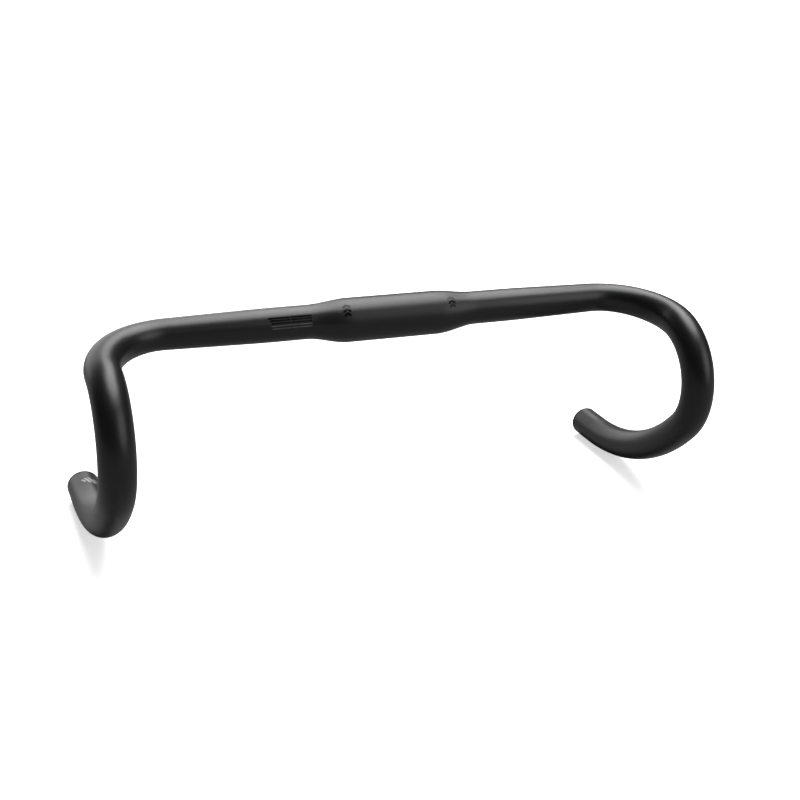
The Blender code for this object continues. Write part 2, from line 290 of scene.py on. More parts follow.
def shaded(piece, angle=35):
    choose(piece)
    bpy.ops.object.shade_smooth_by_angle(angle=math.radians(angle))
    return piece


def settled(name):
    """Names the active piece and leaves its object at the origin, unturned, with its place in its mesh."""
    bpy.ops.object.transform_apply(location=True, rotation=True, scale=True)
    return named(name)


def placed(piece, matrix):
    choose(piece)
    piece.matrix_world = matrix
    return settled(piece.name)


def duplicated(piece, name):
    choose(piece)
    bpy.ops.object.duplicate(linked=False)
    return named(name)


def finished(piece, material, body, slot, *nodes):
    """Gives a finished piece its material and the body it rides on, and hides the CAD nodes it stands for;
    the slot is not used.
    """
    piece.data.materials.clear()
    piece.data.materials.append(material)
    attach(piece, body)
    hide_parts(*nodes)


# The bend line


class BendLine:
    """Points and headings of the +X half of the bar, with the distance walked and an up vector at each."""

    def __init__(self, tube):
        self.tube = tube
        self.points = [Vector((0, 0, 0))]
        self.headings = [Vector((1, 0, 0))]
        self.ups = [Vector((0, 0, 1))]
        self.distances = [0.0]
        forward = Vector((math.sin(tube.toe), -math.cos(tube.toe), 0))
        down = Vector((math.sin(tube.flare), 0, -math.cos(tube.flare)))
        down = (down - down.dot(forward) * forward).normalized()
        ramp = math.cos(tube.ramp_angle) * forward + math.sin(tube.ramp_angle) * down
        corner = self.headings[0].angle(ramp)
        before_tops = tube.clamp_half_length + tube.taper_length
        tops = tube.half_width - before_tops - tube.corner_radius * math.sin(corner)
        self.straight(tube.clamp_half_length, 4)
        self.straight(tube.taper_length, 26)
        self.lift(tube.top_rise, tube.clamp_half_length, tube.taper_length)
        self.straight(tops, 8)
        self.corner_start = self.distances[-1]
        self.arc(tube.corner_radius, corner, self.headings[0].cross(ramp), 40)
        self.corner_end = self.distances[-1]
        hook_axis = forward.cross(down)
        self.arc(tube.hook_radius, tube.hook_angle, hook_axis, 60)
        self.arc(tube.drop_radius, math.pi - tube.ramp_angle - tube.hook_angle, hook_axis, 36)
        self.straight(tube.end_straight - tube.end_chamfer)
        self.straight(tube.end_chamfer)
        self.length = self.distances[-1]

    def step(self, move, turned):
        self.points.append(self.points[-1] + move)
        self.headings.append(turned @ self.headings[-1])
        self.ups.append(turned @ self.ups[-1])
        self.distances.append(self.distances[-1] + move.length)

    def straight(self, length, steps=1):
        for _ in range(steps):
            self.step(self.headings[-1] * (length / steps), Matrix.Identity(3))

    def lift(self, height, start, length):
        """Lifts the points by a height that grows smoothly over a stretch."""
        for point, distance in zip(self.points, self.distances):
            point.z += height * eased(ramped(distance, start, length))

    def arc(self, radius, angle, axis, steps):
        half_turn = Matrix.Rotation(angle / steps / 2, 3, axis)
        chord = 2 * radius * math.sin(angle / steps / 2)
        for _ in range(steps):
            self.step(half_turn @ self.headings[-1] * chord, half_turn @ half_turn)

    def place(self, distance):
        """The point, heading and up vector at a distance from the middle."""
        last = len(self.distances) - 2
        i = next((k for k in range(last) if self.distances[k + 1] >= distance), last)
        share = (distance - self.distances[i]) / (self.distances[i + 1] - self.distances[i])
        point = self.points[i].lerp(self.points[i + 1], share)
        heading = self.headings[i].lerp(self.headings[i + 1], share).normalized()
        up = self.ups[i].lerp(self.ups[i + 1], share)
        return point, heading, (up - up.dot(heading) * heading).normalized()

    def radius(self, distance):
        """The tube's outer radius at a distance from the middle."""
        tube = self.tube
        slimming = ramped(distance, tube.slimming_start, tube.slimming_length)
        grip = tube.top_start_diameter + (tube.top_end_diameter - tube.top_start_diameter) * slimming
        swelling = eased(ramped(distance, self.corner_start, self.corner_end - self.corner_start))
        grip += (tube.drop_diameter - tube.top_end_diameter) * swelling
        taper = eased(ramped(distance, tube.clamp_half_length, tube.taper_length))
        return (tube.clamp_diameter + (grip - tube.clamp_diameter) * taper) / 2

    def end_frame(self, side):
        """The tube's end: local Z points out of the bore, local X up."""
        outwards = mirrored(self.headings[-1], side)
        upright = (Vector((0, 0, 1)) - outwards.z * outwards).normalized()
        axes = Matrix((upright, outwards.cross(upright), outwards)).transposed()
        return Matrix.Translation(mirrored(self.points[-1], side)) @ axes.to_4x4()


def ramped(distance, start, length):
    """0 before a stretch of the bar and 1 after it, in a straight line between."""
    return min(max((distance - start) / length, 0.0), 1.0)


def eased(share):
    return share * share * (3 - 2 * share)


def mirrored(vector, side):
    return Vector((vector.x * side, vector.y, vector.z))


def around(heading, up, angle):
    """The direction at an angle from the tube's top, turning towards its front."""
    return math.cos(angle) * up + math.sin(angle) * heading.cross(up)


# Shader helpers


def new_material(name):
    """A material's node tree with its Principled shader, empty of everything else."""
    made = bpy.data.materials.new(name)
    made.use_nodes = True
    tree = made.node_tree
    return made, tree, tree.nodes["Principled BSDF"]


def new_group(name, inputs, outputs):
    """A shader node group with a place and numbers in and numbers out, and the sockets of its two ends."""
    tree = bpy.data.node_groups.new(name, "ShaderNodeTree")
    tree.interface.new_socket("Vector", in_out="INPUT", socket_type="NodeSocketVector")
    for label, default in inputs.items():
        made = tree.interface.new_socket(label, in_out="INPUT", socket_type="NodeSocketFloat")
        made.default_value = default
    for label in outputs:
        tree.interface.new_socket(label, in_out="OUTPUT", socket_type="NodeSocketFloat")
    return tree, tree.nodes.new("NodeGroupInput").outputs, tree.nodes.new("NodeGroupOutput").inputs


def placed_group(tree, name, place, **values):
    """A group's node with its own values, on a place; gives its outputs."""
    node = tree.nodes.new("ShaderNodeGroup")
    node.node_tree = bpy.data.node_groups[name]
    for label, value in values.items():
        node.inputs[label].default_value = value
    tree.links.new(place, node.inputs["Vector"])
    return node.outputs


def maths(tree, operation, first, second=None, third=None):
    """A Math node on sockets or numbers."""
    node = tree.nodes.new("ShaderNodeMath")
    node.operation = operation
    for socket, value in zip(node.inputs, (first, second, third)):
        if value is None:
            continue
        if isinstance(value, (int, float)):
            socket.default_value = value
        else:
            tree.links.new(value, socket)
    return node.outputs[0]


def spread(tree, value, low, high, to_low, to_high):
    """A Map Range node, clamped."""
    node = tree.nodes.new("ShaderNodeMapRange")
    tree.links.new(value, node.inputs["Value"])
    for label, number in (("From Min", low), ("From Max", high), ("To Min", to_low), ("To Max", to_high)):
        node.inputs[label].default_value = number
    return node.outputs["Result"]


def shade_between(tree, mask, dark, light):
    """A colour between two, by a mask."""
    node = tree.nodes.new("ShaderNodeMix")
    node.data_type = "RGBA"
    tree.links.new(mask, node.inputs["Factor"])
    node.inputs["A"].default_value = (*dark, 1)
    node.inputs["B"].default_value = (*light, 1)
    return node.outputs["Result"]


def bumped(tree, shader, height, distance, strength):
    node = tree.nodes.new("ShaderNodeBump")
    node.inputs["Strength"].default_value = strength
    node.inputs["Distance"].default_value = distance
    tree.links.new(height, node.inputs["Height"])
    tree.links.new(node.outputs["Normal"], shader.inputs["Normal"])


def object_place(tree):
    return tree.nodes.new("ShaderNodeTexCoord").outputs["Object"]


def plug_place(tree):
    """The place on a plug's own axes, in millimetres, stored on its mesh."""
    node = tree.nodes.new("ShaderNodeAttribute")
    node.attribute_name = "plug_place"
    return node.outputs["Vector"]


def noise(tree, vector, scale, detail=2.0, roughness=0.5):
    node = tree.nodes.new("ShaderNodeTexNoise")
    if isinstance(scale, (int, float)):
        node.inputs["Scale"].default_value = scale
    else:
        tree.links.new(scale, node.inputs["Scale"])
    node.inputs["Detail"].default_value = detail
    node.inputs["Roughness"].default_value = roughness
    tree.links.new(vector, node.inputs["Vector"])
    return node.outputs["Fac"]


def tinted(rgb, factor):
    return tuple(channel * factor for channel in rgb)


def coloured(tree, shader, mask, rgb, darker, lighter):
    """Base colour that varies over the surface between two shades of one colour."""
    shades = shade_between(tree, mask, tinted(rgb, darker), tinted(rgb, lighter))
    tree.links.new(shades, shader.inputs["Base Color"])


def roughened(tree, shader, base, *effects):
    """Roughness from a base and effects, each a mask and how much it adds."""
    rough = base
    for mask, strength in effects:
        rough = maths(tree, "MULTIPLY_ADD", mask, strength, rough)
    tree.links.new(rough, shader.inputs["Roughness"])


def build_groups():
    """The effects that several finishes share: grain, handling and turning marks."""
    if "fine_grain" in bpy.data.node_groups:
        return
    tree, given, result = new_group("fine_grain", {"Scale": 2000.0, "Pits": 0.5}, ("Height", "Mottle"))
    grain = noise(tree, given["Vector"], given["Scale"], 4.0, 0.6)
    cells = tree.nodes.new("ShaderNodeTexVoronoi")
    tree.links.new(given["Vector"], cells.inputs["Vector"])
    tree.links.new(given["Scale"], cells.inputs["Scale"])
    dips = spread(tree, cells.outputs["Distance"], 0.0, 0.35, 1.0, 0.0)
    pits = maths(tree, "MULTIPLY", dips, given["Pits"])
    tree.links.new(maths(tree, "SUBTRACT", grain, pits), result["Height"])
    coarse = maths(tree, "MULTIPLY", given["Scale"], 0.22)
    clouds = noise(tree, given["Vector"], coarse, 3.0)
    tree.links.new(spread(tree, clouds, 0.3, 0.7, 0.0, 1.0), result["Mottle"])

    tree, given, result = new_group("handling", {"Scale": 30.0}, ("Smudge", "Specks"))
    patches = noise(tree, given["Vector"], given["Scale"], 5.0, 0.62)
    tree.links.new(spread(tree, patches, 0.42, 0.66, 0.0, 1.0), result["Smudge"])
    fine = maths(tree, "MULTIPLY", given["Scale"], 40.0)
    specks = noise(tree, given["Vector"], fine, 1.0)
    tree.links.new(spread(tree, specks, 0.74, 0.80, 0.0, 1.0), result["Specks"])

    tree, given, result = new_group("turning_marks", {"Pitch": 0.12}, ("Height",))
    apart = tree.nodes.new("ShaderNodeSeparateXYZ")
    tree.links.new(given["Vector"], apart.inputs["Vector"])
    square = maths(tree, "MULTIPLY", apart.outputs["X"], apart.outputs["X"])
    radius = maths(tree, "SQRT", maths(tree, "MULTIPLY_ADD", apart.outputs["Y"], apart.outputs["Y"], square))
    along = maths(tree, "ADD", radius, apart.outputs["Z"])
    turns = maths(tree, "DIVIDE", along, given["Pitch"])
    waves = maths(tree, "SINE", maths(tree, "MULTIPLY", turns, 2 * math.pi))
    wobble = noise(tree, given["Vector"], 1.5, 2.0)
    tree.links.new(maths(tree, "MULTIPLY", waves, wobble), result["Height"])


# The finishes


def satin_anodised(finishes, tube):
    """Black anodised aluminium: a fine even grain, a rougher clamp section, faint handling marks."""
    made, tree, shader = new_material("satin_anodised_black")
    place = object_place(tree)
    grain = placed_group(tree, "fine_grain", place, Scale=2600.0, Pits=0.35)
    marks = placed_group(tree, "handling", place, Scale=22.0)
    apart = tree.nodes.new("ShaderNodeSeparateXYZ")
    tree.links.new(place, apart.inputs["Vector"])
    from_middle = maths(tree, "ABSOLUTE", apart.outputs["X"])
    taper_middle = tube.clamp_half_length + tube.taper_length / 2
    clamp = spread(tree, from_middle, tube.clamp_half_length, taper_middle, 1.0, 0.0)
    coloured(tree, shader, grain["Mottle"], finishes.bar_black, 0.86, 1.18)
    effects = ((marks["Smudge"], 0.035), (grain["Mottle"], 0.03), (clamp, 0.05), (marks["Specks"], 0.10))
    roughened(tree, shader, 0.33, *effects)
    shader.inputs["IOR"].default_value = 1.45
    bumped(tree, shader, grain["Height"], 0.00002, 0.5)
    return made


def gloss_ink(name, rgb):
    """Printing ink: smooth, with a slow ripple where it was laid on."""
    made, tree, shader = new_material(name)
    grain = placed_group(tree, "fine_grain", object_place(tree), Scale=900.0, Pits=0.0)
    coloured(tree, shader, grain["Mottle"], rgb, 0.8, 1.3)
    roughened(tree, shader, 0.19, (grain["Mottle"], 0.06))
    shader.inputs["IOR"].default_value = 1.24
    bumped(tree, shader, grain["Height"], 0.00002, 0.25)
    return made


def silver_ink(finishes):
    """Silver ink: bright flakes in a satin film."""
    made, tree, shader = new_material("silver_flake_ink")
    grain = placed_group(tree, "fine_grain", object_place(tree), Scale=4200.0, Pits=0.4)
    coloured(tree, shader, grain["Mottle"], finishes.print_silver, 0.72, 1.25)
    roughened(tree, shader, 0.34, (grain["Mottle"], 0.16))
    shader.inputs["Metallic"].default_value = 0.35
    bumped(tree, shader, grain["Height"], 0.00002, 0.4)
    return made


def turned_metal(name, rgb, roughness, metallic, pitch, depth):
    """Turned metal: rings from the lathe's tool, a little grain and handling."""
    made, tree, shader = new_material(name)
    place = plug_place(tree)
    rings = placed_group(tree, "turning_marks", place, Pitch=pitch)
    grain = placed_group(tree, "fine_grain", place, Scale=3.0, Pits=0.2)
    marks = placed_group(tree, "handling", place, Scale=0.25)
    coloured(tree, shader, grain["Mottle"], rgb, 0.85, 1.2)
    roughened(tree, shader, roughness, (marks["Smudge"], 0.07), (rings["Height"], 0.05))
    shader.inputs["Metallic"].default_value = metallic
    height = maths(tree, "MULTIPLY_ADD", grain["Height"], 0.3, rings["Height"])
    bumped(tree, shader, height, depth, 0.6)
    return made


def moulded(name, rgb, roughness, scale, depth):
    """Moulded nylon or rubber: a matt skin with a fine texture from the mould."""
    made, tree, shader = new_material(name)
    place = plug_place(tree)
    grain = placed_group(tree, "fine_grain", place, Scale=scale, Pits=0.5)
    marks = placed_group(tree, "handling", place, Scale=0.3)
    coloured(tree, shader, grain["Mottle"], rgb, 0.8, 1.3)
    roughened(tree, shader, roughness, (marks["Smudge"], 0.08), (grain["Mottle"], 0.05))
    bumped(tree, shader, grain["Height"], depth, 0.5)
    return made


# Shapes that several operators use


def flat_patch(name, along, across, columns, rows):
    """A flat grid: distance along the bar in X, turn from its top in Y."""
    start_clean()
    middle = ((along[0] + along[1]) / 2, (across[0] + across[1]) / 2, 0)
    bpy.ops.mesh.primitive_grid_add(x_subdivisions=columns, y_subdivisions=rows, size=1, location=middle)
    bpy.ops.object.mode_set(mode="EDIT")
    bpy.ops.mesh.select_all(action="SELECT")
    bpy.ops.transform.resize(value=(along[1] - along[0], across[1] - across[0], 1))
    bpy.ops.object.mode_set(mode="OBJECT")
    return settled(name)


def joined(name, patches):
    choose(*patches)
    bpy.ops.object.join()
    return named(name)


def printed(piece, line, side, marks):
    """Lays a flat pattern round the bar and gives it the thickness of ink."""
    for vertex in piece.data.vertices:
        distance, angle, _ = vertex.co
        centre, heading, up = line.place(distance)
        point = centre + (line.radius(distance) + marks.lift) * around(heading, up, angle)
        vertex.co = mirrored(point, side)
    if side > 0:
        edit_all(piece)
        bpy.ops.mesh.flip_normals()
        bpy.ops.object.mode_set(mode="OBJECT")
    modified(piece, "SOLIDIFY", thickness=marks.ink, offset=1)
    return shaded(piece)


def turned(name, outline, sides, hollow=False):
    """A solid of rings, one for each (radius, height): a circle, extruded and scaled ring by ring.

    A hollow one's last ring is extruded back onto the first and merged with it, which closes the tube.
    """
    start_clean()
    radius, height = outline[0]
    fill = "NOTHING" if hollow else "NGON"
    bpy.ops.mesh.primitive_circle_add(vertices=sides, radius=radius, fill_type=fill, location=(0, 0, height))
    bpy.ops.object.mode_set(mode="EDIT")
    bpy.ops.mesh.select_all(action="SELECT")
    rings = outline + outline[:1] if hollow else outline
    for (radius, height), (next_radius, next_height) in zip(rings, rings[1:]):
        bpy.ops.mesh.extrude_region_move(TRANSFORM_OT_translate={"value": (0, 0, next_height - height)})
        share = next_radius / radius
        bpy.ops.transform.resize(value=(share, share, 1))
    bpy.ops.object.mode_set(mode="OBJECT")
    return cleaned(settled(name))


def milled(piece, point, normal):
    """Takes off all that lies beyond a plane, and closes the cut."""
    edit_all(piece)
    bpy.ops.mesh.bisect(plane_co=point, plane_no=normal, use_fill=True, clear_outer=True, threshold=1e-7)
    bpy.ops.object.mode_set(mode="OBJECT")


def marked_place(piece):
    """Stores each vertex's place on the plug's own axes, in millimetres, for the material's patterns."""
    places = piece.data.attributes.new("plug_place", "FLOAT_VECTOR", "POINT")
    for stored, vertex in zip(places.data, piece.data.vertices):
        stored.vector = vertex.co / MILLIMETRE
    return piece


def fitted(piece, line, name, finish, body, slot, node, turn_by=0.0):
    """Puts the piece in the left end and a copy of it in the right end, and finishes both."""
    turned_by = Matrix.Rotation(turn_by, 4, "Z")
    copy = duplicated(piece, "right_" + name)
    for made, hand, side in ((copy, "right", -1), (piece, "left", 1)):
        made.name = f"{hand}_{name}"
        placed(made, line.end_frame(side) @ turned_by)
        finished(made, finish, f"{hand}_{body}", slot, f"{hand}_{node}")


def plug_and_line(context):
    return context.scene.handlebar_plug, BendLine(context.scene.handlebar_tube)


def bore_clearance(line):
    """The bore's radius at the tube's end, less what the frame's flats take from it."""
    return (line.radius(line.length) - line.tube.wall) * math.cos(math.pi / FRAME_SIDES)


def shoe_back(line, plug):
    return bore_clearance(line) - plug.running_gap - plug.shoe_travel


def groove_floor(line, plug):
    return shoe_back(line, plug) - 2 * plug.ring_cord - plug.shoe_travel


def nut_top(plug):
    draw = plug.shoe_travel / math.tan(plug.wedge_angle)
    return -(plug.shoe_start + plug.groove_start + plug.groove_width + plug.touching_gap + draw)


def ramp_distance(plug, height):
    """How far each of the nut's flats lies from the axis, at a height."""
    return plug.screw_diameter / 2 + plug.nut_wall + (nut_top(plug) - height) * math.tan(plug.wedge_angle)


def ramp_normal(plug, direction):
    level = Vector((math.cos(direction), math.sin(direction), 0)) * math.cos(plug.wedge_angle)
    return level + Vector((0, 0, math.sin(plug.wedge_angle)))


def threaded(crest, root, start, end, pitch):
    """The outline of a thread between two heights, start above end."""
    turns = int((start - end) / pitch)
    outline = []
    for k in range(turns):
        top = start - k * pitch
        outline += [(root, top), (root, top - 0.15 * pitch)]
        outline += [(crest, top - 0.5 * pitch), (crest, top - 0.62 * pitch)]
    return outline + [(root, start - turns * pitch)]


# The operators


class HANDLEBAR_OT_studio(bpy.types.Operator):
    """Adds the pale floor, the soft lights, the bright surround and the camera"""

    bl_idname = "handlebar.studio"
    bl_label = "Studio"

    def execute(self, context):
        studio = context.scene.handlebar_studio
        finishes = context.scene.handlebar_finishes
        self.floor(studio, finishes)
        self.surround(context, studio)
        self.lights(studio)
        self.camera(context, studio)
        context.scene.view_settings.view_transform = "Standard"
        return {"FINISHED"}

    def floor(self, studio, finishes):
        start_clean()
        place = (0, 0, CAD_BOX[0][2])
        bpy.ops.mesh.primitive_plane_add(size=studio.floor_size, location=place)
        floor = named("studio_floor")
        made, tree, shader = new_material("pale_floor")
        seen = tree.nodes.new("ShaderNodeLightPath").outputs["Is Camera Ray"]
        shades = shade_between(tree, seen, finishes.floor_bounce, finishes.floor_white)
        tree.links.new(shades, shader.inputs["Base Color"])
        glow = shade_between(tree, seen, (0, 0, 0), finishes.floor_glow)
        tree.links.new(glow, shader.inputs["Emission Color"])
        shader.inputs["Emission Strength"].default_value = 1.0
        shader.inputs["Roughness"].default_value = 0.9
        shader.inputs["Specular IOR Level"].default_value = 0.1
        floor.data.materials.append(made)

    def surround(self, context, studio):
        """A dim room; white where the camera looks past the floor."""
        world = bpy.data.worlds.new("studio_surround")
        context.scene.world = world
        world.use_nodes = True
        tree = world.node_tree
        tree.nodes.clear()
        room = tree.nodes.new("ShaderNodeBackground")
        room.inputs["Strength"].default_value = studio.surround
        white = tree.nodes.new("ShaderNodeBackground")
        white.inputs["Strength"].default_value = 1.1
        for node in (room, white):
            node.inputs["Color"].default_value = (1, 1, 1, 1)
        seen = tree.nodes.new("ShaderNodeLightPath").outputs["Is Camera Ray"]
        mixed = tree.nodes.new("ShaderNodeMixShader")
        tree.links.new(seen, mixed.inputs["Fac"])
        tree.links.new(room.outputs[0], mixed.inputs[1])
        tree.links.new(white.outputs[0], mixed.inputs[2])
        tree.links.new(mixed.outputs[0], tree.nodes.new("ShaderNodeOutputWorld").inputs["Surface"])

    def lights(self, studio):
        """Soft lights far away: strength, turn from straight behind towards +X, height and spread."""
        softboxes = {
            "overhead_softbox": (studio.overhead, 70, 72, 46),
            "rear_softbox": (studio.rear, 26, 46, 32),
            "low_rear_softbox": (studio.rear_low, -12, 12, 56),
            "front_softbox": (studio.front, 136, 25, 44),
        }
        for name, (strength, heading, height, spread_angle) in softboxes.items():
            start_clean()
            tilt = math.radians(height - 90)
            aim = (tilt, 0, -math.radians(heading))
            bpy.ops.object.light_add(type="SUN", location=(0, 0, 1), rotation=aim)
            softbox = named(name)
            softbox.data.energy = strength
            softbox.data.angle = math.radians(spread_angle)

    def camera(self, context, studio):
        start_clean()
        bpy.ops.object.camera_add(location=studio.camera_place)
        camera = named("camera")
        level = Vector((math.sin(studio.heading), math.cos(studio.heading), 0))
        view = level * math.cos(studio.downward) - Vector((0, 0, math.sin(studio.downward)))
        right = Vector((level.y, -level.x, 0))
        up = right.cross(view)
        across = math.cos(studio.roll) * right + math.sin(studio.roll) * up
        upright = math.cos(studio.roll) * up - math.sin(studio.roll) * right
        axes = Matrix((across, upright, -view)).transposed()
        camera.matrix_world = Matrix.Translation(studio.camera_place) @ axes.to_4x4()
        camera.data.lens = studio.lens
        camera.data.sensor_width = 36
        camera.data.clip_start = 0.01
        camera.data.clip_end = 400
        context.scene.camera = camera


class HANDLEBAR_OT_tube(bpy.types.Operator):
    """Bends the tube along its line, gives it its wall and its satin black finish"""

    bl_idname = "handlebar.tube"
    bl_label = "Tube"

    def execute(self, context):
        tube = context.scene.handlebar_tube
        line = BendLine(tube)
        last = len(line.points) - 1
        stops = [(-1, i) for i in range(last, 0, -1)] + [(1, i) for i in range(last + 1)]
        start_clean()
        bpy.ops.curve.primitive_nurbs_path_add()
        curve = bpy.context.active_object.data
        curve.splines.clear()
        spline = curve.splines.new("POLY")
        spline.points.add(len(stops) - 1)
        for point, (side, i) in zip(spline.points, stops):
            point.co = (*mirrored(line.points[i], side), 1)
            point.radius = line.radius(line.distances[i]) - (tube.end_chamfer if i == last else 0)
        curve.dimensions = "3D"
        curve.bevel_depth = 1.0
        curve.bevel_resolution = tube.side_rings
        curve.use_fill_caps = False
        bpy.ops.object.convert(target="MESH")
        bar = cleaned(named("bar_tube"))
        modified(bar, "SOLIDIFY", thickness=tube.wall, offset=-1, use_even_offset=True)
        shaded(bar)
        finish = satin_anodised(context.scene.handlebar_finishes, tube)
        finished(bar, finish, "bar", "bar_satin_black", "handlebar_tube")
        return {"FINISHED"}


class HANDLEBAR_OT_lever_scale(bpy.types.Operator):
    """Prints the bold and the fine lines for lining up the levers, outside the rider's right taper"""

    bl_idname = "handlebar.lever_scale"
    bl_label = "Lever scale"

    def execute(self, context):
        marks = context.scene.handlebar_marks
        finishes = context.scene.handlebar_finishes
        line = BendLine(context.scene.handlebar_tube)
        black = gloss_ink("gloss_black_ink", finishes.print_black)
        # The fine lines get grey ink: painted reflection of the front light on glossy black print
        grey = gloss_ink("dark_grey_ink", finishes.print_painted_sheen)
        bold = self.lines(marks, line, range(3), marks.bold_line, BOLD_SHORTENING)
        fine = self.lines(marks, line, range(3, 5), marks.thin_line, FINE_SHORTENING)
        for name, patches, finish in (("lever_scale", bold, black), ("lever_scale_fine", fine, grey)):
            scale = printed(joined(name, patches), line, -1, marks)
            finished(scale, finish, "bar", "gloss_black_print", "lever_scale_print")
        return {"FINISHED"}

    def lines(self, marks, line, rows, wide, shorter):
        """Rows of the scale, each a little shorter than the one above and broken where levers line up."""
        radius = line.radius((marks.scale_start + marks.scale_end) / 2)
        patches = []
        for k in rows:
            middle = marks.scale_top + k * marks.scale_pitch / radius
            across = (middle - wide / radius / 2, middle + wide / radius / 2)
            inner = (marks.scale_start, marks.scale_break - SCALE_HALF_BREAK)
            outer = (marks.scale_break + SCALE_HALF_BREAK, marks.scale_end - shorter * k)
            for along in (inner, outer):
                patches.append(flat_patch("scale_line", along, across, 14, 3))
        return patches


class HANDLEBAR_OT_taper_marks(bpy.types.Operator):
    """Prints a column of gloss black chevrons on each taper"""

    bl_idname = "handlebar.taper_marks"
    bl_label = "Taper marks"

    def execute(self, context):
        marks = context.scene.handlebar_marks
        line = BendLine(context.scene.handlebar_tube)
        finish = bpy.data.materials["gloss_black_ink"]
        places = {"left": marks.taper_mark_left, "right": marks.taper_mark_right}
        for hand, side in SIDES.items():
            middle = places[hand]
            radius = line.radius(middle)
            patches = []
            for turn_degrees, share in CHEVRONS:
                for way in (-1, 1):
                    reach = marks.taper_mark_width / 2 * share
                    along = (middle, middle + reach) if way > 0 else (middle - reach, middle)
                    start = math.radians(turn_degrees)
                    across = (start, start + marks.taper_mark_arm / radius)
                    patch = flat_patch("chevron_arm", along, across, 5, 3)
                    for vertex in patch.data.vertices:
                        vertex.co.y += abs(vertex.co.x - middle) * CHEVRON_SLOPE / radius
                    patches.append(patch)
            mark = printed(joined(hand + "_taper_mark", patches), line, side, marks)
            finished(mark, finish, "bar", "gloss_black_print", hand + "_taper_print")
        return {"FINISHED"}


class HANDLEBAR_OT_drop_mark(bpy.types.Operator):
    """Prints the silver mark on the upper side of the rider's right drop, near its end"""

    bl_idname = "handlebar.drop_mark"
    bl_label = "Drop mark"

    def execute(self, context):
        marks = context.scene.handlebar_marks
        line = BendLine(context.scene.handlebar_tube)
        middle = line.length - marks.drop_mark_middle
        radius = line.radius(middle)
        patches = []
        for offset, reach in SILVER_BARS:
            along = (middle - reach, middle + reach * 0.8)
            centre = math.pi + offset / radius
            half = SILVER_BAR_HALF_WIDTH / radius
            patch = flat_patch("slanted_bar", along, (centre - half, centre + half), 10, 3)
            for vertex in patch.data.vertices:
                vertex.co.y += (vertex.co.x - middle) * SILVER_BAR_SLOPE / radius
            patches.append(patch)
        mark = printed(joined("drop_mark", patches), line, -1, marks)
        finish = silver_ink(context.scene.handlebar_finishes)
        finished(mark, finish, "bar", "silver_print", "drop_print")
        return {"FINISHED"}


class HANDLEBAR_OT_plug_caps(bpy.types.Operator):
    """Turns the cap that closes each end of the tube"""

    bl_idname = "handlebar.plug_caps"
    bl_label = "Plug caps"

    def execute(self, context):
        plug, line = plug_and_line(context)
        face = plug.touching_gap + plug.flange
        rim = line.radius(line.length)
        spigot = bore_clearance(line) - plug.running_gap
        hole = plug.screw_diameter / 2 + plug.running_gap
        mouth = plug.head_diameter / 2 + plug.head_sink + plug.running_gap
        outline = [
            (mouth, face),
            (rim - 0.0026, face),
            (rim - 0.0025, face - 0.00015),
            (rim - 0.0020, face - 0.00015),
            (rim - 0.0019, face),
            (rim - 0.0004, face),
            (rim, face - 0.0004),
            (rim, plug.touching_gap),
            (spigot - EDGE_BREAK, plug.touching_gap),
            (spigot - EDGE_BREAK, plug.touching_gap - 0.0006),
            (spigot, plug.touching_gap - 0.0009),
            (spigot, -plug.spigot + EDGE_BREAK),
            (spigot - EDGE_BREAK, -plug.spigot),
            (hole, -plug.spigot),
            (hole, face - (mouth - hole)),
        ]
        cap = turned("plug_cap", outline, plug.turned_sides, hollow=True)
        cap = marked_place(shaded(softened(cap, 0.00008)))
        finishes = context.scene.handlebar_finishes
        finish = turned_metal("turned_black_anodised", finishes.cap_black, 0.36, 0.25, 0.16, 0.000012)
        fitted(cap, line, "cap", finish, "plug", "cap_black", "plug_cap")
        return {"FINISHED"}


class HANDLEBAR_OT_plug_screws(bpy.types.Operator):
    """Makes the countersunk socket screw of each plug"""

    bl_idname = "handlebar.plug_screws"
    bl_label = "Plug screws"

    def execute(self, context):
        plug, line = plug_and_line(context)
        face = plug.touching_gap + plug.flange - plug.head_sink
        head = plug.head_diameter / 2
        shank = plug.screw_diameter / 2
        tip = face - plug.screw_length
        root = shank - 0.6 * plug.thread_pitch
        outline = [(head - 0.00012, face), (head, face - 0.00012), (head, face - EDGE_BREAK)]
        outline += [(shank, face - (head - shank)), (shank, -0.0020)]
        outline += threaded(shank, root, -0.0024, tip + 0.0005, plug.thread_pitch)
        outline += [(root - 0.0002, tip)]
        screw = turned("plug_screw", outline, plug.turned_sides)
        bpy.ops.mesh.primitive_cylinder_add(
            vertices=6, radius=plug.hex_key / math.sqrt(3), depth=2 * plug.hex_depth, location=(0, 0, face)
        )
        cutter = named("hexagon_key")
        modified(screw, "BOOLEAN", object=cutter, operation="DIFFERENCE", solver="EXACT")
        bpy.data.objects.remove(cutter, do_unlink=True)
        marked_place(shaded(screw, 30))
        finishes = context.scene.handlebar_finishes
        finish = turned_metal("black_oxide_steel", finishes.screw_black, 0.30, 1.0, 0.11, 0.000008)
        fitted(screw, line, "screw", finish, "screw", "screw_steel", "plug_screw")
        return {"FINISHED"}


